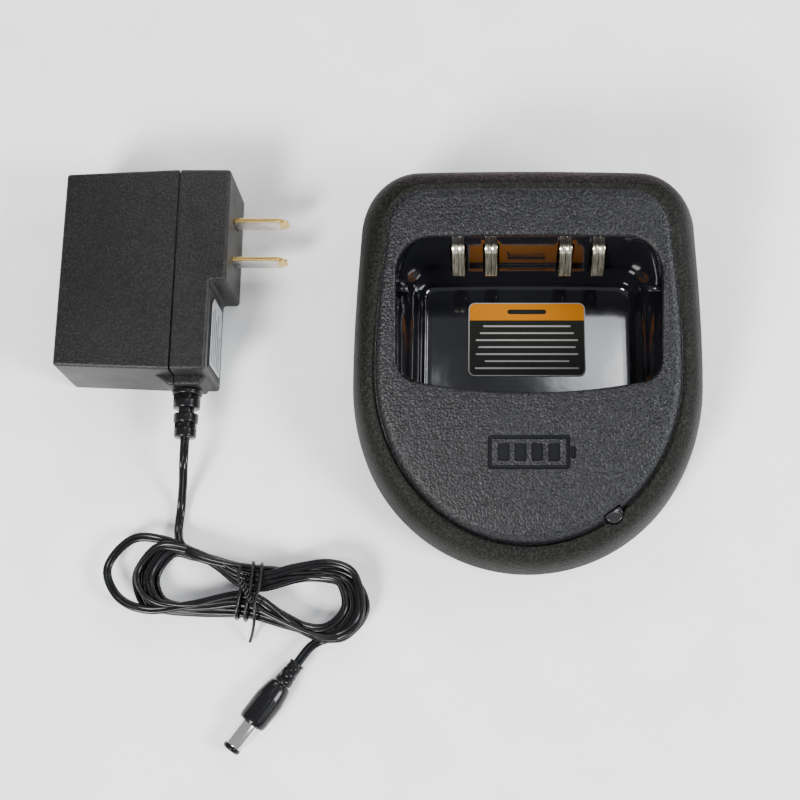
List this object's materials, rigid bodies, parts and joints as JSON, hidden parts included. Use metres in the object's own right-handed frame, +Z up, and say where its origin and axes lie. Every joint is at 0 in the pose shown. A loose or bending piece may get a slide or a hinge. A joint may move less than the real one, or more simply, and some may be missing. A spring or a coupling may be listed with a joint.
{
  "type": "radio charging cradle with plug-in adapter",
  "caption": "Desktop drop-in charging cradle for a handheld two-way radio, with a plug-in power adapter and its tied lead ending in a barrel plug.",
  "frame": {"origin": "middle of the box round the cradle and the adapter, on the table, without the free lead and its plug", "axes": "+X from the adapter to the cradle, +Y to the back of the cradle, +Z up from the table"},
  "size_m": [0.1942, 0.1746, 0.0517],
  "materials": {
    "housing_plastic": "moulded grain",
    "liner_plastic": "polished",
    "base_plastic": "fine grain",
    "inner_plastic": "satin",
    "circuit_board": "solder mask",
    "plated_metal": "nickel plate",
    "ferrite": "matt",
    "can_metal": "sleeved",
    "clear_lens": "clear",
    "lens_plastic": "smoked",
    "red_wire": "satin",
    "black_wire": "satin",
    "label_film": "printed film",
    "foot_rubber": "matt",
    "screw_steel": "zinc plate",
    "contact_metal": "plated",
    "adapter_plastic": "fine texture",
    "blade_brass": "nickel over brass",
    "winding_tape": "tape",
    "soft_pvc": "satin",
    "tie_plastic": "satin"
  },
  "bodies": {
    "cradle": {"upper_housing": "housing_plastic", "pocket_liner": "liner_plastic", "base_plate": "base_plastic", "rubber_foot_1": "foot_rubber", "rubber_foot_2": "foot_rubber", "rubber_foot_3": "foot_rubber", "rubber_foot_4": "foot_rubber", "housing_screw_1": "screw_steel", "housing_screw_2": "screw_steel", "housing_screw_3": "screw_steel", "housing_screw_4": "screw_steel", "contact_carrier": "inner_plastic", "jack_board": "circuit_board", "charge_board": "circuit_board", "dc_jack_body": "inner_plastic", "dc_jack_pin": "plated_metal", "charge_controller_chip": "inner_plastic", "power_inductor": "ferrite", "smoothing_capacitor": "can_metal", "indicator_led": "clear_lens", "indicator_lens": "lens_plastic", "wire_positive": "red_wire", "wire_negative": "black_wire", "pocket_label": "label_film", "base_label": "label_film"},
    "contact_1": {"contact_spring_1": "contact_metal"},
    "contact_2": {"contact_spring_2": "contact_metal"},
    "contact_3": {"contact_spring_3": "contact_metal"},
    "contact_4": {"contact_spring_4": "contact_metal"},
    "adapter": {"adapter_rear_case": "adapter_plastic", "adapter_front_case": "adapter_plastic", "blade_lower": "blade_brass", "blade_upper": "blade_brass", "blade_carrier": "inner_plastic", "adapter_board": "circuit_board", "transformer_core": "ferrite", "transformer_winding": "winding_tape", "input_capacitor": "can_metal", "output_capacitor": "can_metal", "bridge_rectifier": "inner_plastic", "switching_transistor": "inner_plastic", "adapter_label": "label_film", "adapter_strain_relief": "soft_pvc", "cord_lead": "soft_pvc", "cord_hank": "soft_pvc", "cord_tail": "soft_pvc", "twist_tie": "tie_plastic", "plug_strain_relief": "soft_pvc", "plug_grip": "soft_pvc", "plug_barrel": "plated_metal", "plug_insulator": "soft_pvc"}
  },
  "joints": [
    {"name": "contact_1_flex", "type": "hinge", "parent": "cradle", "child": "contact_1", "pos_m": [0.0234, 0.03375, 0.016], "axis": [-1, 0, 0], "range_deg": [0, 5], "stiffness_Nm_per_rad": 0.15, "springref_deg": -1.15},
    {"name": "contact_2_flex", "type": "hinge", "parent": "cradle", "child": "contact_2", "pos_m": [0.0331, 0.03375, 0.016], "axis": [-1, 0, 0], "range_deg": [0, 5], "stiffness_Nm_per_rad": 0.15, "springref_deg": -1.15},
    {"name": "contact_3_flex", "type": "hinge", "parent": "cradle", "child": "contact_3", "pos_m": [0.0551, 0.03375, 0.016], "axis": [-1, 0, 0], "range_deg": [0, 5], "stiffness_Nm_per_rad": 0.15, "springref_deg": -1.15},
    {"name": "contact_4_flex", "type": "hinge", "parent": "cradle", "child": "contact_4", "pos_m": [0.0648, 0.03375, 0.016], "axis": [-1, 0, 0], "range_deg": [0, 5], "stiffness_Nm_per_rad": 0.15, "springref_deg": -1.15},
    {"name": "adapter_along_table", "type": "slide", "parent": "cradle", "child": "adapter", "axis": [-1, 0, 0], "range_m": [0, 0.1]}
  ]
}
